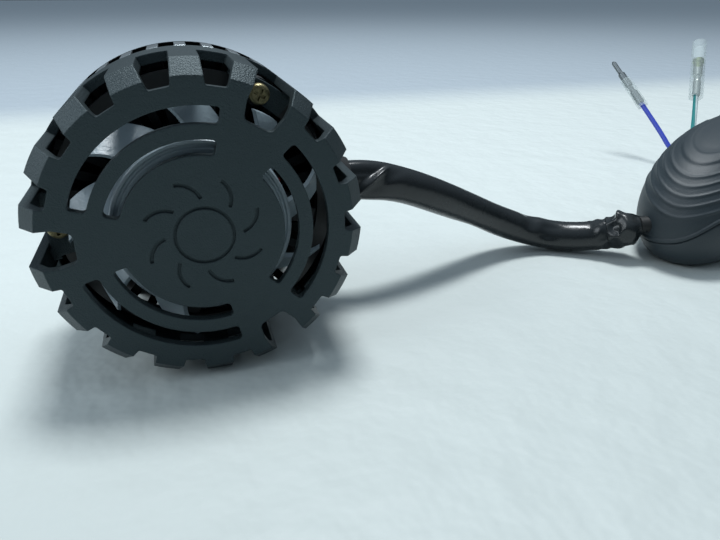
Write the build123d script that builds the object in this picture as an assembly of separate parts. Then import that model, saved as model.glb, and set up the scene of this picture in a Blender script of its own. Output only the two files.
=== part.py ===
"""LED headlight bulb: a fan-cooled head, a collar for the lamp socket and a separate driver box.

Frame: the origin is the centre of the collar's seating plane, where the lamp's reflector stops.
+Y runs along the bulb's axis to the LED tip, -Y to the fan cover, +Z is up, and the head and
the driver stand on the plane z = TABLE_Z.  All sizes are in millimetres.
"""
from build123d import *
import os
from math import cos, pi, radians, sin, tan

os.makedirs("parts", exist_ok=True)

# ---- driving dimensions: head ------------------------------------------------------------------
HEAD_R = 25.0             # the fan cover and the heat sink are 50 mm across
TABLE_Z = -HEAD_R         # the head stands on its own rim
FACE_Y = -34.0            # the cover's flat face
SEAT = -FACE_Y            # depth of the collar's seating plane behind that face

COVER_WALL = 1.4
COVER_DEPTH = 19.8        # from the face to the skirt's open edge
FACE_R = 22.8             # edge of the flat face, where the bevel starts
BEVEL_DEPTH = 2.6
NOTCH_COUNT = 18
NOTCH_DEPTH = 12.0
NOTCH_FLOOR = (21.5, 1.46)     # radius and half width of a rim notch at its floor
NOTCH_MOUTH = (27.0, 2.86)     # the same just outside the rim
POCKET_DEPTH = 18.0            # the three deep notches over the screws
POCKET_FLOOR = (17.85, 2.2)
POCKET_SIDE = (20.5, 2.95)
SLOT_ANGLES = (0, 120, 240)
SLOT_HALF_ANGLE = 42.5
SLOT_RINGS = ((12.0, 14.25), (16.4, 18.9))
ORNAMENT_DEPTH = 0.35

SCREW_ANGLES = (60, 180, 300)
SCREW_CIRCLE_R = 21.3
SCREW_HEAD = (1.65, 1.3)       # radius and height of the pan head
SCREW_SHANK = (1.0, 9.2)
SCREW_HOLE_R = 1.05
TAB_DEPTH = (10.2, 12.3)       # the cover's tabs, clamped between screw heads and frame

HUB_R = 13.6
HUB_DEPTH = (3.0, 12.0)
HUB_WALL_R = 12.7
BLADE_COUNT = 9
BLADE_TIP_R = 19.3
BLADE_MID_DEPTH = 7.4
BLADE_THICK = 0.9
BLADE_PITCH = 47               # from the plane of rotation
# radius, angle of mid-chord, and chord
BLADE_STATIONS = ((12.8, -1.0, 8.2), (16.5, 7.3, 7.4), (19.8, 17.4, 6.7))
MAGNET = (11.25, 12.3)         # inner and outer radius
SHAFT_R = 0.75
BEARING = (0.77, 2.0)          # bore and outer radius
BEARING_TUBE_R = 2.9
FRAME_DEPTH = (12.4, 14.4)
FRAME_RING = (19.9, 22.4)

LEAD_ANGLE = 15                # where the fan's leads leave its board
LEAD_R = 0.4
JUNCTION_DEPTH = 19.5

SINK_DEPTH = (15.2, 30.6)
SINK_CORE_R = 14.0
SINK_SKIRTED = (23.4, 20.0)    # radius of the fins under the skirt, and where they step out
SINK_CAVITY_R = 9.6
FIN_COUNT = 36
FIN_GAP_ROOT = 1.1
FIN_GAP_MOUTH = 2.8
FIN_FLANGE = 3.6               # the solid disc left at the sink's lamp end
CABLE_DEPTH = 24.2             # depth of the cable's entry into the heat sink
CABLE_Z = -0.6
GROMMET = (14.5, 25.0, 28.5)   # x of its inner end, of the sleeve's end inside it, and of its nose
GROMMET_R = 3.9

# ---- driving dimensions: lamp end --------------------------------------------------------------
NECK_R = 13.0
NECK_DEPTH = 36.8
COLLAR_BORE_R = 13.05
BARREL_R = 19.0                # fits the reflector's 38 mm hole
BARREL_LENGTH = 3.5
FLANGE = (19.9, 21.5, 1.2)     # radius between the tabs, radius of the tabs, thickness
LUG_DEPTH = (34.3, 35.9)
LUG_R = 14.2
LUG_ANGLES = (90, 210, 330)
LUG_HALF_ANGLE = 8.0
TWIST = 25                     # turn from locked to free, degrees
BAR_WIDTH = 8.0                # the LED bar, along Z
BAR_THICK = 3.2                # and along X
BAR_DEPTH = (39.0, 79.0)
BOARD_THICK = 0.8
CHIP_ROWS = (59.0, 68.0)       # depths of the high-beam and low-beam rows
CHIP = (0.5, 3.0, 1.6)
CHIP_STEP = 1.9

# ---- driving dimensions: cable, driver and wires -----------------------------------------------
SLEEVE_R = 3.5
JACKET_R = 2.2
WIRE_R = 0.8
DRIVER_NOSE = (99.7, -21.3)
DRIVER_TURN = 29.5             # the box's long axis, degrees from +X towards +Y
DRIVER_HALF = (40.5, 15.4)     # half length and half width at the waist
DRIVER_WAIST = 10.0            # height of the widest level
DRIVER_RISE = 19.0             # from the waist to the crown of the full ovoid
DRIVER_KEEL = 7.2              # how far the base is drawn in from the waist
DRIVER_ROUNDNESS = 2.4         # exponent of its level outlines
DRIVER_WALL = 1.8
DRIVER_SEAM = ((-18, 16.6), (-13, 15.4), (-10, 14.0), (-7.9, 12.4), (-6.2, 10.6), (-4, 8.5),
               (-1.3, 6.8), (2, 5.8), (5.7, 5.2), (18, 4.4))   # across the box and height
DRIVER_BOARD = (56.0, 17.0, 1.6)
DRIVER_BOARD_Z = 8.4
DRIVER_POSTS = (16.0, 65.0)
BOOT_R = 1.9
BOOT_AT = (2.1, 6.2, 9.0)      # where the cable's boot passes the nose, in the driver's frame
BOOT_OUT = (-0.69, 0.72, -0.1)
WIRE_OUTLET = (84.2, 1.58, 8.0)
INPUT_LEADS_X = 69.0

# ---- routes of the cable and of the two input wires --------------------------------------------
CABLE_ROUTE = [
    (25.0, -9.8, -0.6),
    (33.0, -9.8, -0.6),
    (41.4, -8.5, -3.5),
    (50.0, -6.2, -7.5),
    (59.0, -3.2, -12.1),
    (67.8, -1.0, -16.7),
    (76.0, -1.0, -20.0),
    (83.0, -3.6, -21.4),
    (88.6, -7.0, -20.9),
    (92.5, -9.9, -19.3),
]
BLUE_ROUTE = [
    (173.762, 18.787, -17.0),
    (178.462, 21.446, -17.0),
    (182.0, 26.3, -18.8),
    (181.8, 33.0, -21.3),
    (177.8, 39.2, -23.4),
    (171.9, 44.9, -23.4),
    (165.4, 50.0, -20.2),
    (163.8, 57.3, -12.8),
    (161.5, 66.1, -4.9),
]
GREEN_ROUTE = [
    (172.206, 21.537, -17.0),
    (177.254, 24.393, -17.0),
    (179.4, 29.2, -18.8),
    (178.4, 34.2, -21.4),
    (174.2, 37.4, -23.6),
    (169.2, 38.2, -23.8),
    (165.0, 38.9, -20.6),
    (163.5, 41.4, -15.2),
    (166.3, 44.6, -9.5),
    (170.3, 50.7, -0.2),
]

# ---- frames ------------------------------------------------------------------------------------
# Head parts are drawn as seen from the fan end: x right, y up and z towards the viewer, so a
# depth behind the cover's face is a negative z and angles run anticlockwise from the right.
HEAD = Plane(origin=(0, FACE_Y, 0), x_dir=(1, 0, 0), z_dir=(0, -1, 0)).location
# Driver parts are drawn with x along the box from its nose and z up from the table.
DRIVER = Location((*DRIVER_NOSE, TABLE_Z), (0, 0, DRIVER_TURN))
ALONG = (Align.CENTER, Align.CENTER, Align.MIN)


def save(name, solids, frame=Location()):
    """Write one node; several solids become one compound."""
    solids = solids if isinstance(solids, (list, tuple)) else [solids]
    placed = [frame * part for solid in solids for part in solid.solids()]
    export_step(placed[0] if len(placed) == 1 else Compound(children=placed), f"parts/{name}.step")


def spun(*corners):
    """A solid of revolution about Z, from (radius, z) corners."""
    outline = Polyline(*[(r, 0, z) for r, z in corners], close=True)
    return revolve(make_face(outline), Axis.Z)


def turned(*corners):
    """The same for the head, from (radius, depth) corners."""
    return spun(*[(r, -depth) for r, depth in corners])


def disc(radius, near, far, bore=0.0):
    """A round plate or tube on the axis, between two depths."""
    body = Cylinder(radius, far - near)
    if bore:
        body -= Cylinder(bore, far - near)
    return Pos(0, 0, -(near + far) / 2) * body


def sector(inner, outer, middle, half, near, far, corner=0.0):
    """A piece of ring between two radii and two depths, either side of a middle angle."""
    arcs = [CenterArc((0, 0), radius, middle - half, 2 * half) for radius in (inner, outer)]
    ends = [Line(arcs[0] @ t, arcs[1] @ t) for t in (0, 1)]
    block = Pos(0, 0, -far) * extrude(make_face(arcs + ends), far - near)
    if corner:
        block = fillet(block.edges().filter_by(Axis.Z), corner)
    return block


def at(radius, angle, solid):
    """Put a solid drawn on the axis at a radius and angle, turned with the angle."""
    return Rot(0, 0, angle) * Pos(radius, 0, 0) * solid


def radial_tunnel(radius, depth, height, length):
    """A cylinder along +x from the axis, at a depth."""
    return Pos(0, height, -depth) * Rot(0, 90, 0) * Cylinder(radius, length, align=ALONG)


def screw(head_r, head_height, shank_r, length):
    """A pan-head cross-recess screw, its seat at z = 0 and the shank pointing to -z."""
    head = Cylinder(head_r, head_height, align=ALONG)
    head = fillet(head.edges().group_by(Axis.Z)[-1], head_height * 0.45)
    shank = Pos(0, 0, -length) * Cylinder(shank_r, length, align=ALONG)
    bar = Box(head_r * 1.15, head_r * 0.3, head_height)
    return head + shank - Pos(0, 0, head_height) * (bar + Rot(0, 0, 90) * bar)


# ---- rear cover --------------------------------------------------------------------------------
def rim_cut(depth, corner, *profile):
    """A notch at angle 0, open outward, from (radius, half width) pairs starting at its floor."""
    outline = Polyline(*profile, *[(r, -half) for r, half in reversed(profile)], close=True)
    block = Pos(0, 0, -depth) * extrude(make_face(outline), depth + 1)
    floor_edges = block.edges().filter_by(Axis.Z).sort_by(Axis.X)[:2]
    return fillet(floor_edges, corner)


def airflow_ornament():
    """A plain ring with eight curved strokes around it, engraved in the middle of the face."""
    groove = disc(4.5, -1, ORNAMENT_DEPTH, bore=4.05)
    bends = [Vector(r, 0, 0).rotate(Axis.Z, angle) for r, angle in ((5.7, 0), (7.2, 8), (8.7, 24))]
    stroke = extrude(trace(ThreePointArc(*bends), 0.5), 2)
    for index in range(8):
        groove += Rot(0, 0, index * 45) * Pos(0, 0, -ORNAMENT_DEPTH) * stroke
    return groove


def rear_cover():
    inner = HEAD_R - COVER_WALL
    cover = turned((0, 0), (FACE_R, 0), (HEAD_R, BEVEL_DEPTH), (HEAD_R, COVER_DEPTH),
                   (inner, COVER_DEPTH), (inner, BEVEL_DEPTH + 0.6), (FACE_R - 0.6, COVER_WALL),
                   (0, COVER_WALL))
    notch = rim_cut(NOTCH_DEPTH, 0.35, NOTCH_FLOOR, NOTCH_MOUTH)
    mouth = (NOTCH_MOUTH[0], POCKET_SIDE[1])
    pocket = rim_cut(POCKET_DEPTH, 1.0, POCKET_FLOOR, POCKET_SIDE, mouth)
    for index in range(NOTCH_COUNT):
        angle = index * 360 / NOTCH_COUNT
        cover -= Rot(0, 0, angle) * (pocket if angle in SCREW_ANGLES else notch)
    for middle in SLOT_ANGLES:
        for ring in SLOT_RINGS:
            cover -= sector(*ring, middle, SLOT_HALF_ANGLE, -1, COVER_WALL + 1, corner=0.6)
    for angle in SCREW_ANGLES:
        tab = sector(19.9, 23.3, angle, 12.5, *TAB_DEPTH)
        for side in (-1, 1):
            tab += sector(22.4, HEAD_R - 0.8, angle + side * 11.2, 2.4, *TAB_DEPTH)
        cover += tab - at(SCREW_CIRCLE_R, angle, disc(SCREW_HOLE_R, *TAB_DEPTH))
    return cover - airflow_ornament()


# ---- fan ---------------------------------------------------------------------------------------
def fan_blade():
    """One swept and pitched blade, lofted from flat sections square to its radius."""
    sections = []
    for radius, angle, chord in BLADE_STATIONS:
        out = Vector(1, 0, 0).rotate(Axis.Z, angle)
        across = Vector(0, 1, 0).rotate(Axis.Z, angle)
        station = Plane(origin=out * radius - Vector(0, 0, BLADE_MID_DEPTH), x_dir=across, z_dir=out)
        sections.append(station * Rot(0, 0, BLADE_PITCH) * Rectangle(chord, BLADE_THICK))
    return loft(sections) & disc(BLADE_TIP_R, 2, 13, bore=HUB_WALL_R)


def fan_rotor():
    near, far = HUB_DEPTH
    hub = turned((0, near + 0.5), (HUB_R - 2.3, near + 0.5), (HUB_R - 1.9, near), (HUB_R - 1.3, near),
                 (HUB_R - 1.1, near + 0.4), (HUB_R - 0.8, near + 0.4), (HUB_R - 0.6, near + 0.1),
                 (HUB_R - 0.2, near + 0.1), (HUB_R, near + 0.4),
                 (HUB_R, far), (HUB_WALL_R, far), (HUB_WALL_R, near + 1.4), (2.2, near + 1.4),
                 (2.2, near + 2.2), (SHAFT_R, near + 2.2), (SHAFT_R, near + 0.9), (0, near + 0.9))
    blade = fan_blade()
    for index in range(BLADE_COUNT):
        hub += Rot(0, 0, index * 360 / BLADE_COUNT) * blade
    return hub


def stator_core():
    near, far = 6.4, 10.4
    core = disc(4.2, near, far)
    for index in range(4):
        angle = index * 90
        core += at(6.4, angle, Pos(0, 0, -(near + far) / 2) * Box(6.4, 2.6, far - near))
        core += sector(9.2, 10.9, angle, 37, near, far)
    return core - disc(BEARING_TUBE_R, near, far)


def stator_coils():
    coil = Box(3.8, 6.0, 5.6)
    coil = fillet(coil.edges().filter_by(Axis.X), 1.1) - Box(3.8, 2.6, 4.0)
    return [at(6.6, index * 90, Pos(0, 0, -8.4) * coil) for index in range(4)]


def fan_frame():
    near, far = FRAME_DEPTH
    frame = disc(FRAME_RING[1], near, far, bore=FRAME_RING[0])
    for index in range(4):
        spoke = Pos(0, 0, -(near + 0.8 + far) / 2) * Box(9.5, 2.6, far - near - 0.8)
        frame += at(16.2, -10 + index * 90, spoke)
    for angle in SCREW_ANGLES:
        frame += at(SCREW_CIRCLE_R, angle, disc(2.2, TAB_DEPTH[1], SINK_DEPTH[0]))
    frame += disc(12.2, near + 0.8, far) + disc(BEARING_TUBE_R, 5.6, far)
    for angle in SCREW_ANGLES:
        frame -= at(SCREW_CIRCLE_R, angle, disc(SCREW_HOLE_R, 11, 16))
    return frame - disc(BEARING[1], 5, 14.1)


def fan_circuit_board():
    board = disc(11.9, 12.4, 13.2, bore=BEARING_TUBE_R)
    return board - at(11.5, LEAD_ANGLE, Box(3.6, 3.4, 40))


def fan_lead(side):
    """One fan lead from the fan's board back to the junction board, beside its twin."""
    across = side * (LEAD_R + 0.1)
    corners = [(9.7, 12.75), (13.9, 12.75), (13.9, 17.4), (SINK_CAVITY_R - 1.2, JUNCTION_DEPTH + 0.1)]
    path, _ = round_route([(r, across, -depth) for r, depth in corners])
    section = Plane(origin=path @ 0, z_dir=path % 0) * Circle(LEAD_R)
    return Rot(0, 0, LEAD_ANGLE) * sweep(section, path=path)


def junction_board():
    return disc(SINK_CAVITY_R - 0.1, JUNCTION_DEPTH + 0.5, JUNCTION_DEPTH + 1.5)


# ---- heat sink, cable entry and lamp end -------------------------------------------------------
def heat_sink():
    near, far = SINK_DEPTH
    body = turned((0, near), (SINK_SKIRTED[0], near), SINK_SKIRTED, (HEAD_R - 0.3, SINK_SKIRTED[1]),
                  (HEAD_R, SINK_SKIRTED[1] + 0.3), (HEAD_R, far - 2.6), (HEAD_R - 2.6, far),
                  (NECK_R, far), (NECK_R, NECK_DEPTH), (0, NECK_DEPTH))
    mouth = (HEAD_R + 2, FIN_GAP_MOUTH / 2)
    outline = Polyline((SINK_CORE_R, FIN_GAP_ROOT / 2), mouth, (mouth[0], -mouth[1]),
                       (SINK_CORE_R, -FIN_GAP_ROOT / 2), close=True)
    gap = Pos(0, 0, FIN_FLANGE - far) * extrude(make_face(outline), far)
    body -= [Rot(0, 0, (index + 0.5) * 360 / FIN_COUNT) * gap for index in range(FIN_COUNT)]
    for angle in SCREW_ANGLES:
        body += at(SCREW_CIRCLE_R, angle, disc(1.9, near, near + 5.8)) & disc(SINK_SKIRTED[0], near, far)
    for angle in SCREW_ANGLES:
        body -= at(SCREW_CIRCLE_R, angle, disc(SCREW_SHANK[0], near - 1, near + 5.0))
    entry = Box(HEAD_R - 0.4, 10.6, 8.6, align=(Align.MIN, Align.CENTER, Align.CENTER))
    body += Pos(0, CABLE_Z, -CABLE_DEPTH) * entry
    body -= disc(SINK_CAVITY_R, 17.2, 28.0) + disc(8.6, 27, 38)
    body -= at(13.2, LEAD_ANGLE, Pos(0, 0, -18) * Box(8.2, 2.6, 7.2))
    body -= radial_tunnel(GROMMET_R, CABLE_DEPTH, CABLE_Z, 40)
    for angle in LUG_ANGLES:
        body += sector(NECK_R - 0.5, LUG_R, angle, LUG_HALF_ANGLE, *LUG_DEPTH)
    return body


def cable_grommet():
    """Rubber bushing with a flange outside the fins and a socket for the sleeve's end."""
    start, socket, nose = GROMMET
    rubber = spun((JACKET_R, 0), (GROMMET_R, 0), (GROMMET_R, socket - start), (5.2, socket - start),
                  (5.2, socket - start + 1.0), (4.2, nose - start), (SLEEVE_R, nose - start),
                  (SLEEVE_R, socket - start), (JACKET_R, socket - start))
    return Pos(start, CABLE_Z, -CABLE_DEPTH) * Rot(0, 90, 0) * rubber


def cable_jacket():
    """The cable's inner jacket, from the sleeve's end to the middle of the heat sink."""
    start = 7.0
    jacket = Cylinder(JACKET_R, GROMMET[1] - start, align=ALONG)
    return Pos(start, CABLE_Z, -CABLE_DEPTH) * Rot(0, 90, 0) * jacket


def lamp_collar():
    """The steel collar: a barrel, a flange with three tabs, and three bayonet grooves."""
    between, tab_r, thick = FLANGE
    collar = disc(BARREL_R, SEAT, SEAT + BARREL_LENGTH) + disc(between, SEAT - thick, SEAT)
    for middle, half in zip(LUG_ANGLES, (16, 11, 11)):
        collar += sector(18.0, tab_r, middle, half, SEAT - thick, SEAT)
    collar -= disc(COLLAR_BORE_R, SEAT - 2, SEAT + BARREL_LENGTH + 1)
    groove_r, half = LUG_R + 0.2, LUG_HALF_ANGLE + 0.6
    for angle in LUG_ANGLES:
        collar -= sector(12.5, groove_r, angle + TWIST / 2, half + TWIST / 2,
                         LUG_DEPTH[0] - 0.2, LUG_DEPTH[1] + 0.2)
        collar -= sector(12.5, groove_r, angle + TWIST, half, SEAT - 2, LUG_DEPTH[1])
    return collar


def stem_bar():
    """The copper bar that carries the LED boards, its broad faces to the left and right."""
    root, tip = BAR_DEPTH
    return Pos(0, 0, -(root + tip) / 2) * Box(BAR_THICK, BAR_WIDTH, tip - root)


def stem_base():
    base = turned((0, 34.6), (8.6, 34.6), (8.6, NECK_DEPTH), (12.2, NECK_DEPTH), (12.2, 38.2),
                  (6.6, 44.0), (0, 44.0))
    return base - stem_bar()


def led_board(side):
    near, far = 44.4, 77.4
    board = Box(BOARD_THICK, BAR_WIDTH - 0.8, far - near)
    return Pos(side * (BAR_THICK + BOARD_THICK) / 2, 0, -(near + far) / 2) * board


def led_chips(side):
    """Two rows of three emitters on one board; the low-beam row is nearer the tip."""
    across = side * (BAR_THICK / 2 + BOARD_THICK + CHIP[0] / 2)
    steps = [row + step * CHIP_STEP for row in CHIP_ROWS for step in (-1, 0, 1)]
    return [Pos(across, 1.2, -depth) * Box(*CHIP) for depth in steps]


def low_beam_shield():
    """The cup under the low-beam row, with an end wall around the lower half of the bar."""
    near, far = CHIP_ROWS[1] - 4.4, CHIP_ROWS[1] + 4.4
    cup = sector(5.3, 5.9, 270, 84, near, far)
    wall = disc(5.9, near, near + 0.8) & Pos(0, -3.2, -near) * Box(12, 6.4, 4)
    bar = Box(BAR_THICK + 2 * BOARD_THICK, BAR_WIDTH, 4)
    return cup + wall - Pos(0, 0, -near) * bar


def stem_tip_cap():
    near, far = 77.4, 80.6
    cap = Pos(0, 0, -(near + far) / 2) * Box(5.6, BAR_WIDTH + 1.0, far - near)
    return fillet(cap.edges().group_by(Axis.Z)[0], 1.0) - stem_bar()


# ---- driver box --------------------------------------------------------------------------------
def driver_level(height, half_length, half_width):
    """One level outline of the driver: a superellipse."""
    count, power = 36, 2 / DRIVER_ROUNDNESS
    points = []
    for index in range(count):
        turn = 2 * pi * (index + 0.5) / count
        along = abs(cos(turn)) ** power * (1 if cos(turn) > 0 else -1)
        across = abs(sin(turn)) ** power * (1 if sin(turn) > 0 else -1)
        points.append((DRIVER_HALF[0] + half_length * along, half_width * across))
    return Pos(0, 0, height) * make_face(Spline(*points, periodic=True))


def driver_body(inset):
    """The driver's ovoid, drawn in by an inset all over."""
    half_length, half_width = [half - inset for half in DRIVER_HALF]
    drop, rise = DRIVER_WAIST - inset, DRIVER_RISE - inset
    levels = []
    for step in (90, 60, 30, 0):
        drawn = DRIVER_KEEL * (1 - cos(radians(step)))
        height = DRIVER_WAIST - drop * sin(radians(step))
        levels.append(driver_level(height, half_length - drawn, half_width - drawn))
    for step in (18, 36, 54, 68, 80):
        shrink = cos(radians(step)) ** 0.8
        height = DRIVER_WAIST + rise * sin(radians(step))
        levels.append(driver_level(height, half_length * shrink, half_width * shrink))
    return loft(levels)


def below_seam():
    """Everything under the driver's seam, which is higher along its near side."""
    seam = Spline(*DRIVER_SEAM)
    start, end = seam @ 0, seam @ 1
    under = Polyline((end.X, end.Y), (end.X, -5), (start.X, -5), (start.X, start.Y))
    return Pos(-5, 0, 0) * extrude(Plane.YZ * make_face([seam, under]), 95)


def driver_boot():
    """The rubber boot where the cable enters the nose."""
    mouth = Vector(*BOOT_AT) + Vector(*BOOT_OUT).normalized() * 1.6
    return Plane(origin=mouth, z_dir=-Vector(*BOOT_OUT)).location * Cylinder(BOOT_R, 5.0, align=ALONG)


def driver_outlet():
    """The block that guides the two input wires out of the tail."""
    block = Box(8.4, 7.4, 4.4, align=(Align.MAX, Align.CENTER, Align.CENTER))
    return Pos(WIRE_OUTLET[0] + 1.0, 0, WIRE_OUTLET[2]) * fillet(block.edges().filter_by(Axis.X), 2.0)


def input_leads():
    """The input wires' stretch inside the box, one each side of the middle."""
    x, y, z = WIRE_OUTLET
    lead = Rot(0, 90, 0) * Cylinder(WIRE_R, x - INPUT_LEADS_X, align=ALONG)
    return [Pos(INPUT_LEADS_X, side * y, z) * lead for side in (-1, 1)]


def driver_shells():
    """The top shell and the bottom shell, split along the seam."""
    outer, inner = driver_body(0), driver_body(DRIVER_WALL)
    wall = outer - inner
    floor = DRIVER_WALL / 2
    bottom, top = wall & below_seam(), wall - below_seam()
    for x in DRIVER_POSTS:
        height = DRIVER_BOARD_Z - floor
        bottom += Pos(x, 0, floor) * Cylinder(2.6, height, align=ALONG)
        boss = Pos(x, 0, DRIVER_BOARD_Z + DRIVER_BOARD[2]) * Cylinder(2.4, 30, align=ALONG)
        top += (boss & driver_body(DRIVER_WALL / 2)) - below_boss(x)
        bottom -= Pos(x, 0, -1) * Cylinder(2.3, 3.2, align=ALONG)
        bottom -= Pos(x, 0, 0) * Cylinder(SCREW_HOLE_R, 20, align=ALONG)
    return top - driver_boot() - driver_outlet(), bottom - driver_outlet()


def below_boss(x):
    """The blind hole that the case screw cuts its thread in."""
    return Pos(x, 0, 0) * Cylinder(SCREW_SHANK[0], 15.0, align=ALONG)


def case_screws():
    body = screw(1.9, 1.2, SCREW_SHANK[0], 12.6)
    return [Pos(x, 0, 2.2) * Rot(180, 0, 0) * body for x in DRIVER_POSTS]


def driver_board():
    length, width, thick = DRIVER_BOARD
    board = Box(length, width, thick, align=ALONG)
    board = Pos(DRIVER_HALF[0], 0, DRIVER_BOARD_Z) * fillet(board.edges().filter_by(Axis.Z), 4.0)
    for x in DRIVER_POSTS:
        board -= Pos(x, 0, 0) * Cylinder(SCREW_HOLE_R, 20, align=ALONG)
    return board


def on_board(x, y, solid):
    return Pos(x, y, DRIVER_BOARD_Z + DRIVER_BOARD[2]) * solid


def driver_inductor():
    ring = Cylinder(6.2, 5.2, align=ALONG) - Cylinder(2.6, 5.2, align=ALONG)
    return on_board(26.5, 0, fillet(ring.edges(), 0.9))


def driver_capacitors():
    can = Cylinder(3.2, 8.5, align=ALONG)
    can = fillet(can.edges().group_by(Axis.Z)[-1], 0.5)
    return [on_board(38.5, side * 3.9, can) for side in (-1, 1)]


def driver_transistors():
    case = chamfer(Box(6.2, 5.6, 2.3, align=ALONG).edges().group_by(Axis.Z)[-1], 0.3)
    return [on_board(50.0, side * 4.4, case) for side in (-1, 1)]


# ---- cable and wires ---------------------------------------------------------------------------
def round_route(points):
    """Straight runs joined by the largest tangent arcs that each corner's runs allow."""
    points = [Vector(*point) for point in points]
    radii = []
    for before, corner, after in zip(points, points[1:], points[2:]):
        turn = radians((corner - before).get_angle(after - corner))
        shorter = min((corner - before).length, (after - corner).length)
        radii.append(0.45 * shorter / tan(turn / 2))
    return FilletPolyline(*points, radius=radii), radii


def cord(name, points, radius):
    """A cord's plain solid along its route."""
    path, radii = round_route(points)
    section = Plane(origin=path @ 0, z_dir=path % 0) * Circle(radius)
    body = sweep(section, path=path)
    share = body.volume / (pi * radius**2 * path.length)
    print(f"{name}: length {path.length:.1f}, tightest arc {min(radii):.1f}, volume share {share:.4f}")
    return body


def end_of(points):
    """The frame at a route's last point, z along its last run."""
    return Plane(origin=points[-1], z_dir=Vector(*points[-1]) - Vector(*points[-2])).location


def cable_gather():
    """The gathered end of the sleeve, narrowing from its full width to the driver's boot."""
    end, lead = Vector(*CABLE_ROUTE[-1]), end_of(CABLE_ROUTE)
    mouth = DRIVER * Location(Vector(*BOOT_AT) + Vector(*BOOT_OUT).normalized() * 1.6)
    inward = Vector(*BOOT_OUT).rotate(Axis.Z, DRIVER_TURN) * -1
    first = Plane(lead)
    middle = Plane(origin=end + first.z_dir * 2.4, z_dir=first.z_dir)
    waist = Plane(origin=(end + first.z_dir * 2.4) * 0.35 + mouth.position * 0.65,
                  z_dir=first.z_dir + inward.normalized())
    last = Plane(origin=mouth.position, z_dir=inward)
    return loft([plane * Circle(r) for plane, r in ((first, 3.6), (middle, 3.4), (waist, 2.5), (last, 1.7))])


def bullet_plug():
    """Male bullet terminal, crimped on the wire at z = 0."""
    return spun((0, 0), (1.25, 0), (1.25, 5.0), (0.85, 5.6), (0.85, 7.6), (1.2, 8.0), (1.2, 13.6),
                (0.8, 14.2), (0.8, 18.9), (0.4, 19.6), (0, 19.6))


def bullet_socket():
    """Female bullet terminal, with a rolled mouth."""
    return spun((0, 0), (1.25, 0), (1.25, 5.0), (1.1, 5.6), (1.1, 7.0), (1.5, 7.4), (1.5, 12.2),
                (1.75, 12.4), (1.75, 13.6), (1.25, 13.6), (1.25, 7.6), (0, 7.6))


def clear_sleeve(near, far, inner, wall):
    return spun((inner, near), (inner + wall, near), (inner + wall, far), (inner, far))


# ---- the nodes ---------------------------------------------------------------------------------
save("rear_cover", rear_cover(), HEAD)
cover_screw = Pos(0, 0, -TAB_DEPTH[0]) * screw(*SCREW_HEAD, *SCREW_SHANK)
save("cover_screws", [at(SCREW_CIRCLE_R, angle, cover_screw) for angle in SCREW_ANGLES], HEAD)
save("fan_rotor", fan_rotor(), HEAD)
save("rotor_yoke", disc(HUB_WALL_R, 4.6, 11.9, bore=MAGNET[1]), HEAD)
save("rotor_magnet", disc(MAGNET[1], 5.0, 11.8, bore=MAGNET[0]), HEAD)
save("fan_shaft", disc(SHAFT_R, HUB_DEPTH[0] + 0.9, 13.9), HEAD)
save("shaft_clip", disc(1.5, 13.65, 13.85, bore=SHAFT_R), HEAD)
save("fan_bearing", disc(BEARING[1], 5.6, 13.5, bore=BEARING[0]), HEAD)
save("fan_frame", fan_frame(), HEAD)
save("stator_core", stator_core(), HEAD)
save("stator_coils", stator_coils(), HEAD)
save("fan_circuit_board", fan_circuit_board(), HEAD)
save("fan_lead_red", fan_lead(-1), HEAD)
save("fan_lead_black", fan_lead(1), HEAD)
save("junction_board", junction_board(), HEAD)
save("heat_sink", heat_sink(), HEAD)
save("cable_grommet", cable_grommet(), HEAD)
save("cable_jacket", cable_jacket(), HEAD)
save("lamp_collar", lamp_collar(), HEAD)
save("collar_o_ring", Pos(0, 0, -SINK_DEPTH[1] - 0.9) * Torus(NECK_R + 0.9, 0.9), HEAD)
save("stem_base", stem_base(), HEAD)
save("stem_core", stem_bar(), HEAD)
save("led_board_left", led_board(-1), HEAD)
save("led_board_right", led_board(1), HEAD)
save("led_chips", led_chips(-1) + led_chips(1), HEAD)
save("low_beam_shield", low_beam_shield(), HEAD)
save("stem_tip_cap", stem_tip_cap(), HEAD)

top_shell, bottom_shell = driver_shells()
save("driver_top_shell", top_shell, DRIVER)
save("driver_bottom_shell", bottom_shell, DRIVER)
save("driver_case_screws", case_screws(), DRIVER)
save("driver_circuit_board", driver_board(), DRIVER)
save("driver_inductor", driver_inductor(), DRIVER)
save("driver_capacitors", driver_capacitors(), DRIVER)
save("driver_transistors", driver_transistors(), DRIVER)
save("driver_cable_boot", driver_boot(), DRIVER)
save("driver_wire_outlet", driver_outlet() - [Pos(0, side * WIRE_OUTLET[1], WIRE_OUTLET[2])
     * Rot(0, 90, 0) * Cylinder(WIRE_R, 90, align=ALONG) for side in (-1, 1)], DRIVER)
save("driver_input_leads", input_leads(), DRIVER)

save("bulb_cable", cord("bulb_cable", CABLE_ROUTE, SLEEVE_R))
save("cable_gather", cable_gather())
save("wire_blue", cord("wire_blue", BLUE_ROUTE, WIRE_R))
save("wire_green", cord("wire_green", GREEN_ROUTE, WIRE_R))
save("bullet_plug", bullet_plug(), end_of(BLUE_ROUTE))
save("bullet_socket", bullet_socket(), end_of(GREEN_ROUTE))
save("plug_sleeve", clear_sleeve(-1.5, 11.0, 1.5, 0.35), end_of(BLUE_ROUTE))
save("socket_sleeve", clear_sleeve(-1.0, 20.4, 2.0, 0.3), end_of(GREEN_ROUTE))
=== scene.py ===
import bpy
import math
import numpy as np
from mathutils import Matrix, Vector, noise


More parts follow.
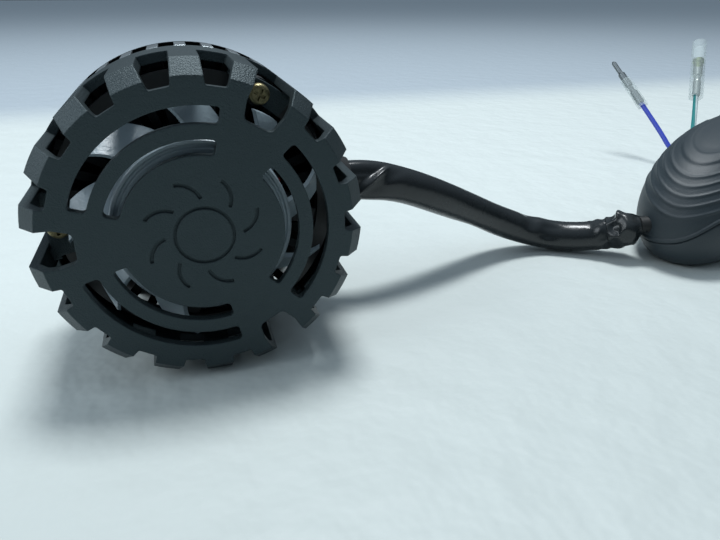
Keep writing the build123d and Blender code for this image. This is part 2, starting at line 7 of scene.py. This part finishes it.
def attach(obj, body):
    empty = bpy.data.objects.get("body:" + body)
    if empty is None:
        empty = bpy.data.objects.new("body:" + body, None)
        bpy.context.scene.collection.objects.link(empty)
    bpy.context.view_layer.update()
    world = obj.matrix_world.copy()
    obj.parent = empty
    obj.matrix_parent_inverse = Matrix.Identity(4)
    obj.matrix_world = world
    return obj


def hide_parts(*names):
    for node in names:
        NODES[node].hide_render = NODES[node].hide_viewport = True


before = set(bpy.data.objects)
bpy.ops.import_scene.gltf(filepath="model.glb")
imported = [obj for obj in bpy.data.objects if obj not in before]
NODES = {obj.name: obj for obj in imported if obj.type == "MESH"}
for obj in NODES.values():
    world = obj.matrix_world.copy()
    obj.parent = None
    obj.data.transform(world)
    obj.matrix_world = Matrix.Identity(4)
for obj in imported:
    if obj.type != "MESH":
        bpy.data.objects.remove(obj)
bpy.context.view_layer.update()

TABLE_Z = -0.025               # metres
MM = 0.001


# ---- node helpers ------------------------------------------------------------------------------
def linked(tree, kind, *sources, operation=None):
    """A new node with its first inputs linked to the given node outputs."""
    made = tree.nodes.new(kind)
    if operation:
        made.operation = operation
    for index, source in enumerate(sources):
        tree.links.new(source, made.inputs[index])
    return made


def ramp(tree, value, span, result=(0, 1), curve="LINEAR"):
    """A node output mapped from one span of values to another and held at both ends."""
    made = linked(tree, "ShaderNodeMapRange", value)
    made.interpolation_type = curve
    for key, number in zip(("From Min", "From Max", "To Min", "To Max"), (*span, *result)):
        made.inputs[key].default_value = number
    return made.outputs["Result"]


def step_up(tree, value, low, high):
    """A smooth step of a node output from 0 at low to 1 at high."""
    return ramp(tree, value, (low, high), curve="SMOOTHSTEP")


def coordinate(tree, space, axis):
    """One coordinate of the shaded point, as a node output."""
    place = tree.nodes.new("ShaderNodeTexCoord")
    return linked(tree, "ShaderNodeSeparateXYZ", place.outputs[space]).outputs[axis]


def noise_at(tree, scale, detail):
    """Procedural noise over the object's own coordinates, as a node output."""
    place = tree.nodes.new("ShaderNodeTexCoord")
    made = linked(tree, "ShaderNodeTexNoise", place.outputs["Object"])
    made.inputs["Scale"].default_value = scale
    made.inputs["Detail"].default_value = detail
    return made.outputs["Fac"]


def mix_colors(tree, factor, low, high):
    """Base colour that runs from low, a colour or a node output, to high as factor, a node output,
    goes from 0 to 1."""
    blend = tree.nodes.new("ShaderNodeMix")
    blend.data_type = "RGBA"
    if isinstance(low, tuple):
        blend.inputs["A"].default_value = (*low, 1)
    else:
        tree.links.new(low, blend.inputs["A"])
    blend.inputs["B"].default_value = (*high, 1)
    tree.links.new(factor, blend.inputs["Factor"])
    tree.links.new(blend.outputs["Result"], tree.nodes["Principled BSDF"].inputs["Base Color"])
    return blend.outputs["Result"]


# ---- materials ---------------------------------------------------------------------------------
MOTTLE_SCALE = 160


def surface(name, color, roughness, metallic=0.0, grain=0.0, grain_size=0.0004, edge=0.0,
            mottle=0.0, alpha=1.0, tint=(1, 1, 1), shine=0.5):
    """A principled material with a fine procedural grain and softly rounded edges. Lengths are in
    metres: grain_size is the grain's width and edge the radius of the rounding."""
    mat = bpy.data.materials.new(name)
    mat.use_nodes = True
    mat.diffuse_color = (*color, 1)
    tree = mat.node_tree
    shader = tree.nodes["Principled BSDF"]
    for key, value in (("Base Color", (*color, 1)), ("Roughness", roughness), ("Metallic", metallic),
                       ("Specular Tint", (*tint, 1)), ("Specular IOR Level", shine), ("Alpha", alpha)):
        shader.inputs[key].default_value = value
    normal = None
    if edge:
        bevel = tree.nodes.new("ShaderNodeBevel")
        bevel.samples = 6
        bevel.inputs["Radius"].default_value = edge
        normal = bevel.outputs["Normal"]
    if grain:
        relief = tree.nodes.new("ShaderNodeBump")
        relief.inputs["Strength"].default_value = grain
        relief.inputs["Distance"].default_value = grain_size * 0.5
        tree.links.new(noise_at(tree, 1 / grain_size, 3), relief.inputs["Height"])
        if normal:
            tree.links.new(normal, relief.inputs["Normal"])
        normal = relief.outputs["Normal"]
    if mottle:
        patches = noise_at(tree, MOTTLE_SCALE, 5)
        spread = ramp(tree, patches, (0, 1), (roughness - mottle, roughness + mottle))
        tree.links.new(spread, shader.inputs["Roughness"])
    if normal:
        tree.links.new(normal, shader.inputs["Normal"])
    return mat


LOOKS = {
    "cover": surface("cover", (0.0125, 0.0185, 0.0200), 0.48, grain=1.0, grain_size=0.00022, edge=0.00035,
                     mottle=0.06, tint=(0.74, 0.93, 1), shine=0.6),
    "brass_screw": surface("brass_screw", (0.23, 0.2, 0.11), 0.42, metallic=1, grain=0.5,
                           grain_size=0.0006, edge=0.0001),
    "fan_grey": surface("fan_grey", (0.29, 0.36, 0.40), 0.36, grain=0.3, grain_size=0.0007, edge=0.0002,
                        mottle=0.08),
    "steel": surface("steel", (0.5, 0.51, 0.52), 0.3, metallic=1, edge=0.0001),
    "magnet": surface("magnet", (0.02, 0.02, 0.021), 0.7),
    "black_plastic": surface("black_plastic", (0.012, 0.014, 0.015), 0.5, edge=0.0002),
    "copper": surface("copper", (0.55, 0.2, 0.07), 0.3, metallic=1, grain=0.4, grain_size=0.0003),
    "board": surface("board", (0.015, 0.1, 0.045), 0.4),
    "bronze": surface("bronze", (0.42, 0.27, 0.12), 0.4, metallic=1),
    "red": surface("red", (0.42, 0.012, 0.01), 0.4),
    "black_wire": surface("black_wire", (0.012, 0.012, 0.013), 0.4),
    "sink": surface("sink", (0.6, 0.63, 0.65), 0.34, metallic=1, edge=0.00015, mottle=0.08),
    "aluminium": surface("aluminium", (0.6, 0.63, 0.65), 0.32, metallic=1, edge=0.00015, mottle=0.08),
    "rubber": surface("rubber", (0.005, 0.006, 0.0065), 0.6, edge=0.0003),
    "plated": surface("plated", (0.66, 0.66, 0.65), 0.25, metallic=1, edge=0.00015),
    "bar_copper": surface("bar_copper", (0.7, 0.33, 0.18), 0.28, metallic=1, edge=0.0001),
    "white_board": surface("white_board", (0.75, 0.76, 0.75), 0.45),
    "phosphor": surface("phosphor", (0.75, 0.5, 0.04), 0.5),
    "shield": surface("shield", (0.02, 0.02, 0.021), 0.45, edge=0.0001),
    "sleeve": surface("sleeve", (0.0075, 0.0105, 0.0120), 0.27, grain=0.08, grain_size=0.0016, mottle=0.06),
    "driver": surface("driver", (0.0155, 0.025, 0.0315), 0.52, grain=0.5, grain_size=0.00025, edge=0.0002,
                      mottle=0.05),
    "component": surface("component", (0.015, 0.015, 0.016), 0.4),
    "can": surface("can", (0.03, 0.05, 0.12), 0.35),
    "winding": surface("winding", (0.5, 0.17, 0.05), 0.3, metallic=1),
    "blue_wire": surface("blue_wire", (0.03, 0.055, 0.42), 0.38),
    "green_wire": surface("green_wire", (0.01, 0.2, 0.19), 0.38),
    "white_stripe": surface("white_stripe", (0.72, 0.76, 0.76), 0.4),
    "tin": surface("tin", (0.16, 0.18, 0.19), 0.45, metallic=1),
    "brass": surface("brass", (0.3, 0.32, 0.3), 0.4, metallic=1),
    "clear": surface("clear", (0.6, 0.68, 0.68), 0.3, alpha=0.2),
}
WEARS = {
    "cover": ["rear_cover"],
    "brass_screw": ["cover_screws"],
    "fan_grey": ["fan_rotor"],
    "steel": ["rotor_yoke", "fan_shaft", "shaft_clip", "stator_core", "driver_case_screws"],
    "magnet": ["rotor_magnet"],
    "black_plastic": ["fan_frame"],
    "copper": ["stator_coils"],
    "board": ["fan_circuit_board", "junction_board", "driver_circuit_board"],
    "bronze": ["fan_bearing"],
    "red": ["fan_lead_red"],
    "black_wire": ["fan_lead_black", "cable_jacket", "driver_input_leads"],
    "aluminium": ["stem_base", "stem_tip_cap"],
    "sink": ["heat_sink"],
    "rubber": ["cable_grommet", "collar_o_ring", "driver_cable_boot", "driver_wire_outlet"],
    "plated": ["lamp_collar"],
    "bar_copper": ["stem_core"],
    "white_board": ["led_board_left", "led_board_right"],
    "phosphor": ["led_chips"],
    "shield": ["low_beam_shield"],
    "driver": ["driver_top_shell", "driver_bottom_shell"],
    "component": ["driver_transistors"],
    "can": ["driver_capacitors"],
    "winding": ["driver_inductor"],
    "tin": ["bullet_plug"],
    "brass": ["bullet_socket"],
    "clear": ["plug_sleeve", "socket_sleeve"],
    "sleeve": ["cable_gather", "bulb_cable"],
    "blue_wire": ["wire_blue"],
    "green_wire": ["wire_green"],
}
for look, names in WEARS.items():
    for name in names:
        NODES[name].data.materials.clear()
        NODES[name].data.materials.append(LOOKS[look])


# Where the sink's bright fin tips begin, each as a narrow step in metres: at a radius, and at a
# distance from the collar's seat towards the fan, past the solid flange.
FIN_TIP_STEP = (0.0246, 0.0248)
FLANGE_STEP = (0.0070, 0.0072)
SOCKET_MOUTH_STEP = (0.0084, 0.0088)
STRIPE_STEP = (0.76, 0.78)     # share of the turn round the wire


def color_sink(mat):
    """The sink is anodised black, with its fin tips turned bright."""
    tree = mat.node_tree
    place = tree.nodes.new("ShaderNodeTexCoord")
    flat = linked(tree, "ShaderNodeVectorMath", place.outputs["Object"], operation="MULTIPLY")
    flat.inputs[1].default_value = (1, 0, 1)
    from_axis = linked(tree, "ShaderNodeVectorMath", flat.outputs["Vector"], operation="LENGTH")
    behind_seat = linked(tree, "ShaderNodeMath", coordinate(tree, "Object", "Y"), operation="MULTIPLY")
    behind_seat.inputs[1].default_value = -1
    bright = linked(tree, "ShaderNodeMath", step_up(tree, from_axis.outputs["Value"], *FIN_TIP_STEP),
                    step_up(tree, behind_seat.outputs["Value"], *FLANGE_STEP), operation="MULTIPLY")
    mix_colors(tree, bright.outputs["Value"], (0.012, 0.014, 0.015), (0.36, 0.4, 0.42))


def color_socket(mat):
    """The socket's mouth is bare brass; its crimp is tinned."""
    tree = mat.node_tree
    mouth = step_up(tree, coordinate(tree, "Object", "Z"), *SOCKET_MOUTH_STEP)
    mix_colors(tree, mouth, (0.3, 0.33, 0.31), (0.16, 0.2, 0.08))


def color_green_wire(mat):
    """The green wire carries a white stripe that winds slowly round it."""
    tree = mat.node_tree
    turn = linked(tree, "ShaderNodeMath", coordinate(tree, "UV", "X"), coordinate(tree, "UV", "Y"),
                  operation="ADD")
    share = linked(tree, "ShaderNodeMath", turn.outputs["Value"], operation="FRACT")
    stripe = step_up(tree, share.outputs["Value"], *STRIPE_STEP)
    mix_colors(tree, stripe, (0.015, 0.2, 0.2), (0.62, 0.7, 0.7))


color_sink(LOOKS["sink"])
color_socket(LOOKS["brass"])
color_green_wire(LOOKS["green_wire"])


# ---- mesh helpers ------------------------------------------------------------------------------
def smooth(value, low, high):
    """0 below low, 1 above high, and an eased rise between."""
    share = np.clip((value - low) / (high - low), 0, 1)
    return share * share * (3 - 2 * share)


def bump(value, width):
    """1 where value is 0, fading to nothing over about two widths."""
    return np.exp(-(value / width) ** 2)


def grid_mesh(name, rows, look, close_first=True, close_last=True):
    """A mesh from rings of points, each joined to the next and optionally capped."""
    rings, sides = rows.shape[:2]
    faces = []
    for ring in range(rings - 1):
        for side in range(sides):
            after = (side + 1) % sides
            faces.append((ring * sides + side, ring * sides + after,
                          (ring + 1) * sides + after, (ring + 1) * sides + side))
    if close_first:
        faces.append(tuple(range(sides - 1, -1, -1)))
    if close_last:
        faces.append(tuple(range((rings - 1) * sides, rings * sides)))
    mesh = bpy.data.meshes.new(name)
    mesh.from_pydata([tuple(p) for p in rows.reshape(-1, 3)], [], faces)
    mesh.polygons.foreach_set("use_smooth", [len(face) == 4 for face in faces])
    mesh.materials.append(LOOKS[look])
    mesh.update()
    obj = bpy.data.objects.new(name, mesh)
    bpy.context.scene.collection.objects.link(obj)
    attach(obj, "bulb")
    return obj


# ---- cable: shrunk sleeve, folded and gathered, in mm --------------------------------------------
CABLE_ROUTE = [
    (25.0, -9.8, -0.6), (33.0, -9.8, -0.6), (41.4, -8.5, -3.5), (50.0, -6.2, -7.5),
    (59.0, -3.2, -12.1), (67.8, -1.0, -16.7), (76.0, -1.0, -20.0), (83.0, -3.6, -21.4),
    (88.6, -7.0, -20.9), (92.5, -9.9, -19.3),
]
GATHER_ROUTE = [(92.5, -9.9, -19.3), (94.4, -11.3, -18.5), (96.2, -13.2, -17.0), (98.4, -14.84, -16.0)]
SLEEVE_R = 3.5
CABLE_RUN = 75.3
GATHER_RUN = 8.8
# The sleeve's bulges and dents: height, place along the run and length in mm, then the middle and
# half the width in degrees from the top.
SLEEVE_MARKS = (
    (0.75, 7.5, 6, 175, 75), (-0.4, 55.2, 2.2, 25, 65), (0.12, 58.4, 1.6, 10, 60),
    (-0.55, 60.5, 3.0, 62, 48), (-0.3, 40, 6, 200, 60),
)
CREASE_MEAN = 0.45             # the creases' mean height, so that they don't widen the sleeve


def centreline(route, step=0.25):
    """Points along a route in mm, its corners rounded between the middles of its runs."""
    points = [Vector(point) for point in route]
    middles = [(a + b) / 2 for a, b in zip(points, points[1:])]
    stretches = [(points[0], (points[0] + middles[0]) / 2, middles[0])]
    stretches += list(zip(middles, points[1:-1], middles[1:]))
    stretches.append((middles[-1], (middles[-1] + points[-1]) / 2, points[-1]))
    line = [points[0]]
    for start, corner, end in stretches:
        count = max(2, round((end - start).length / step))
        for index in range(1, count + 1):
            t = index / count
            line.append(start * (1 - t) ** 2 + corner * 2 * t * (1 - t) + end * t ** 2)
    return line


def loose_tube(name, route, radius_at, sides=96):
    """A sleeve round a route. radius_at takes the run in mm and the angle in degrees from the top,
    growing towards the fan end, and gives the radius in mm."""
    line = centreline(route)
    around = np.arange(sides) * 360 / sides
    rings, run = [], 0.0
    for index, point in enumerate(line):
        before, after = line[max(index - 1, 0)], line[min(index + 1, len(line) - 1)]
        ahead = (after - before).normalized()
        up = (Vector((0, 0, 1)) - ahead * ahead.z).normalized()
        side = ahead.cross(up)
        if index:
            run += (point - line[index - 1]).length
        radius = radius_at(run, around)[:, None]
        turn = np.radians(around)[:, None]
        ring = np.array(point) + radius * (np.cos(turn) * np.array(up) + np.sin(turn) * np.array(side))
        rings.append(ring * MM)
    tube = grid_mesh(name, np.array(rings), "sleeve")
    return tube, [tuple(point * MM) for point in line]


def window(around, middle, half):
    """1 at the middle angle, falling smoothly to 0 at half away from it."""
    away = np.abs((around - middle + 180) % 360 - 180)
    return 1 - smooth(away, half * 0.35, half)


def creases(past_cable, around):
    """Ridged noise round a sleeve, from 0 in the folds to 1 on the creases. It runs on unbroken
    from the sleeve to its gathered end, so it takes the run in mm past the sleeve's end."""
    heights = []
    for angle in np.radians(around):
        place = Vector((0.85 * math.cos(angle), 0.85 * math.sin(angle), past_cable * 0.33 + 3.1))
        heights.append(1 - min(1, 2.4 * abs(noise.noise(place))))
    return np.array(heights)


def sleeve_radius(run, around):
    """The sleeve is pinched where it leaves the grommet, along a slanting fold, and dented later."""
    radius = SLEEVE_R + 0.15 * bump(run - 24, 12)
    for height, place, length, middle, half in SLEEVE_MARKS:
        radius = radius + height * bump(run - place, length) * window(around, middle, half)
    wrapped = (around + 90) % 360 - 90
    past_fold = run - (11.4 - 6.5 * (wrapped - 20) / 110)
    pinch = (1 - smooth(past_fold, -1.6, 0.0)) * smooth(run, 0.5, 4.0) + 0.3 * bump(past_fold - 2.2, 1.6)
    radius = radius + window(around, 85, 72) * (0.5 * bump(past_fold, 0.45) - pinch)
    crumpled = 0.6 * float(smooth(run, 69.5, CABLE_RUN))
    return radius + (creases(run - CABLE_RUN, around) - CREASE_MEAN) * crumpled


def gather_radius(run, around):
    """Creases deepen as the sleeve is drawn in to the width of the cable's jacket."""
    share = run / GATHER_RUN
    plain = SLEEVE_R + 0.35 * math.sin(math.pi * min(share * 1.3, 1)) - 1.6 * float(smooth(share, 0.55, 0.92))
    crumpled = (0.6 + 0.4 * float(smooth(run, 0.0, 2.0))) * (1 - 0.9 * share)
    radius = plain + (creases(run, around) - CREASE_MEAN) * crumpled
    return radius + 1.0 * bump(run - 4.0, 0.8) * window(around, 5, 34)


cable, cable_line = loose_tube("bulb_cable_sleeve", CABLE_ROUTE, sleeve_radius)
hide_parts("bulb_cable")
gather, _ = loose_tube("gathered_sleeve_end", GATHER_ROUTE, gather_radius)
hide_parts("cable_gather")

# ---- input wires ---------------------------------------------------------------------------------
BLUE_ROUTE = [
    (173.762, 18.787, -17.0), (178.462, 21.446, -17.0), (182.0, 26.3, -18.8), (181.8, 33.0, -21.3),
    (177.8, 39.2, -23.4), (171.9, 44.9, -23.4), (165.4, 50.0, -20.2), (163.8, 57.3, -12.8),
    (161.5, 66.1, -4.9),
]
GREEN_ROUTE = [
    (172.206, 21.537, -17.0), (177.254, 24.393, -17.0), (179.4, 29.2, -18.8), (178.4, 34.2, -21.4),
    (174.2, 37.4, -23.6), (169.2, 38.2, -23.8), (165.0, 38.9, -20.6), (163.5, 41.4, -15.2),
    (166.3, 44.6, -9.5), (170.3, 50.7, -0.2),
]
WIRE_R = 0.0008                # metres


def wire(name, route, node, look):
    """One input wire, from the driver's outlet to its bullet terminal."""
    data = bpy.data.curves.new(name, "CURVE")
    data.dimensions = "3D"
    data.resolution_u = 16
    data.bevel_depth = WIRE_R
    data.bevel_resolution = 8
    spline = data.splines.new("NURBS")
    spline.points.add(len(route) - 1)
    for point, place in zip(spline.points, route):
        point.co = (*(Vector(place) * MM), 1)
    spline.order_u = 3
    spline.use_endpoint_u = True
    data.materials.append(LOOKS[look])
    obj = bpy.data.objects.new(name, data)
    bpy.context.scene.collection.objects.link(obj)
    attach(obj, "bulb")
    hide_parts(node)


wire("blue_input_wire", BLUE_ROUTE, "wire_blue", "blue_wire")
wire("green_input_wire", GREEN_ROUTE, "wire_green", "green_wire")

# ---- driver box, in mm, with the dimensions of the part's source ---------------------------------
DRIVER_NOSE = (99.7, -21.3)
DRIVER_TURN = math.radians(29.5)
DRIVER_HALF = (40.5, 15.4)     # half length and half width at the waist
DRIVER_WAIST = 10.0
DRIVER_RISE = 19.0
DRIVER_KEEL = 7.2
DRIVER_ROUNDNESS = 2.4
DRIVER_SEAM = ((-18, -13, -10, -7.9, -6.2, -4, -1.3, 2, 5.7, 18),
               (16.6, 15.4, 14.0, 12.4, 10.6, 8.5, 6.8, 5.8, 5.2, 4.4))
# The ridges are levels of a stretched distance from a focus inside the box, near its middle. The
# far half mirrors the near half, and the two are blended over RIDGE_BLEND.
RIDGES = (27.9, 29.9, 32.0, 34.0, 36.1)
RIDGE_FOCUS = (36.05, 0.19, 15.33)
RIDGE_LEAN = (0.958, 0.286)    # cosine and sine of the tilt of the stretch's long axis
RIDGE_STRETCH = (0.892, 2.5, 1.597)
RIDGE_BLEND = 3
RIDGE_SHIFT = 0.11             # makes up at the nose for the blending
SEAM_GROOVE = 0.35


def shell_points(turn, climb):
    """Points of the driver's ovoid in its own frame, in mm. turn runs round it and climb goes from
    -90 degrees at the base, through 0 at the waist, to 90 at the crown."""
    low = climb < 0
    height = DRIVER_WAIST + np.where(low, DRIVER_WAIST, DRIVER_RISE) * np.sin(climb)
    drawn = DRIVER_KEEL * (1 - np.cos(climb))
    shrink = np.clip(np.cos(climb), 1e-6, 1) ** 0.8
    power = 2 / DRIVER_ROUNDNESS
    along = np.sign(np.cos(turn)) * np.abs(np.cos(turn)) ** power
    across = np.sign(np.sin(turn)) * np.abs(np.sin(turn)) ** power
    half_length = np.where(low, DRIVER_HALF[0] - drawn, DRIVER_HALF[0] * shrink)
    half_width = np.where(low, DRIVER_HALF[1] - drawn, DRIVER_HALF[1] * shrink)
    return np.stack([DRIVER_HALF[0] + half_length * along, half_width * across, height], axis=-1)


def seam_height(across):
    """Height of the seam at a distance across the box, its corners eased."""
    offsets = np.linspace(-1.2, 1.2, 9)
    return np.mean([np.interp(across + offset, *DRIVER_SEAM) for offset in offsets], axis=0)


def seam_climb(turn):
    """The climb at which each turn of the ovoid meets the seam."""
    low, high = np.full_like(turn, -1.4), np.full_like(turn, 1.2)
    for _ in range(40):
        middle = (low + high) / 2
        point = shell_points(turn, middle)
        above = point[:, 2] > seam_height(point[:, 1])
        high, low = np.where(above, middle, high), np.where(above, low, middle)
    return (low + high) / 2


def ridge_field(points):
    """A field whose levels are the ridges; it grows from the crown panel towards the ends."""
    from_middle = points[..., 0] - DRIVER_HALF[0]
    mirrored = DRIVER_HALF[0] + RIDGE_SHIFT - np.sqrt(from_middle ** 2 + RIDGE_BLEND ** 2)
    along, across, up = np.stack([mirrored, points[..., 1], points[..., 2]]) - np.reshape(
        RIDGE_FOCUS, (3,) + (1,) * mirrored.ndim)
    cosine, sine = RIDGE_LEAN
    inward = np.minimum(along * cosine - up * sine, 0)
    outward = along * sine + up * cosine
    stretched = np.stack([inward, across, outward], axis=-1) * RIDGE_STRETCH
    return np.linalg.norm(stretched, axis=-1)


def top_relief(points, from_seam):
    """Height in mm of the top shell's ridges, panel border and lip over the plain ovoid."""
    field = ridge_field(points)
    panel = -0.25 * (1 - smooth(field, 21.6, 23.0))
    border = 0.32 * smooth(field, 22.6, 23.3) * (1 - smooth(field, 24.9, 25.6))
    ridges = sum((0.27 - 0.015 * index) * bump(field - level, 0.30) for index, level in enumerate(RIDGES))
    lip = 0.30 * (1 - smooth(from_seam, 0.9, 1.5)) * smooth(from_seam, 0.1, 0.45)
    relief = (panel + border + ridges) * smooth(from_seam, 1.2, 3.0) + lip
    return relief - SEAM_GROOVE * (1 - smooth(from_seam, 0.0, 0.3))


def bottom_relief(_, from_seam):
    """The base is plain but for its half of the seam's groove."""
    return -SEAM_GROOVE * (1 - smooth(from_seam, 0.0, 0.35))


def shell(name, node, rows, relief_of, towards):
    """One half of the driver's case, from its seam to the crown or to the base."""
    sides = 520
    turn = (np.arange(sides) + 0.5) * 2 * math.pi / sides
    start = seam_climb(turn)
    share = (np.arange(rows) / (rows - 1))[:, None] ** 1.25
    climb = start[None, :] + (towards - start[None, :]) * share
    points = shell_points(np.broadcast_to(turn, climb.shape), climb)
    from_seam = np.linalg.norm(points - points[:1], axis=-1)
    round_it = np.roll(points, -1, axis=1) - np.roll(points, 1, axis=1)
    up_it = np.gradient(points, axis=0)
    outward = np.cross(round_it, up_it) * (1 if towards > 0 else -1)
    outward /= np.maximum(np.linalg.norm(outward, axis=-1, keepdims=True), 1e-9)
    points = points + outward * relief_of(points, from_seam)[..., None]
    cosine, sine = math.cos(DRIVER_TURN), math.sin(DRIVER_TURN)
    x = DRIVER_NOSE[0] + points[..., 0] * cosine - points[..., 1] * sine
    y = DRIVER_NOSE[1] + points[..., 0] * sine + points[..., 1] * cosine
    placed = np.stack([x, y, points[..., 2] + TABLE_Z / MM], axis=-1) * MM
    obj = grid_mesh(name, placed, "driver", close_first=False)
    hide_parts(node)
    return obj


shell("driver_case_top", "driver_top_shell", 190, top_relief, math.radians(89.5))
shell("driver_case_base", "driver_bottom_shell", 70, bottom_relief, math.radians(-90))

# ---- room: table, light and camera ----------------------------------------------------------------
bpy.ops.mesh.primitive_plane_add(size=6, location=(0.1, 0.6, TABLE_Z))
table = bpy.context.object
table.name = "table"
cloth = surface("table_cloth", (0.6, 0.66, 0.66), 0.55, grain=0.22, grain_size=0.011)
weave = cloth.node_tree
away = coordinate(weave, "Object", "Y")
# Painted shade: the table's near end is coloured darker to stand for the weaker light falling there; further
# back it steps to a darker, bluish grey.
painted_front_shade = mix_colors(weave, step_up(weave, away, -0.68, -0.58), (0.475, 0.515, 0.5), (0.59, 0.635, 0.62))
mix_colors(weave, step_up(weave, away, -0.42, -0.34), painted_front_shade, (0.385, 0.44, 0.485))
table.data.materials.append(cloth)

world = bpy.data.worlds.new("room")
bpy.context.scene.world = world
world.use_nodes = True
sky = world.node_tree.nodes["Background"]
sky.inputs["Color"].default_value = (0.68, 0.83, 0.97, 1)
overhead = ramp(world.node_tree, coordinate(world.node_tree, "Generated", "Z"), (0.15, 0.9), (0.10, 0.62))
world.node_tree.links.new(overhead, sky.inputs["Strength"])


def lamp(name, place, target, size, power, color):
    """A rectangular area light aimed at a target."""
    data = bpy.data.lights.new(name, "AREA")
    data.shape = "RECTANGLE"
    data.size, data.size_y = size
    data.energy = power
    data.color = color
    light = bpy.data.objects.new(name, data)
    light.location = place
    light.rotation_euler = (Vector(target) - Vector(place)).to_track_quat("-Z", "Y").to_euler()
    bpy.context.scene.collection.objects.link(light)


lamp("ceiling", (0.11, 0.21, 0.95), (0.05, 0, 0), (0.28, 0.22), 9.2, (0.93, 0.975, 1))
lamp("window_left", (-0.9, 0.0, 0.5), (0, 0, 0), (0.7, 0.6), 5.0, (0.86, 0.94, 1))

camera = bpy.data.objects.new("camera", bpy.data.cameras.new("camera"))
camera.data.lens = 30.04
camera.data.sensor_width = 36
camera.location = (-0.00185, -0.11993, 0.03325)
camera.rotation_euler = (math.radians(64.84), 0, math.radians(-16.73))
camera.data.clip_start = 0.005
bpy.context.scene.collection.objects.link(camera)
bpy.context.scene.camera = camera
bpy.context.scene.view_settings.view_transform = "Standard"
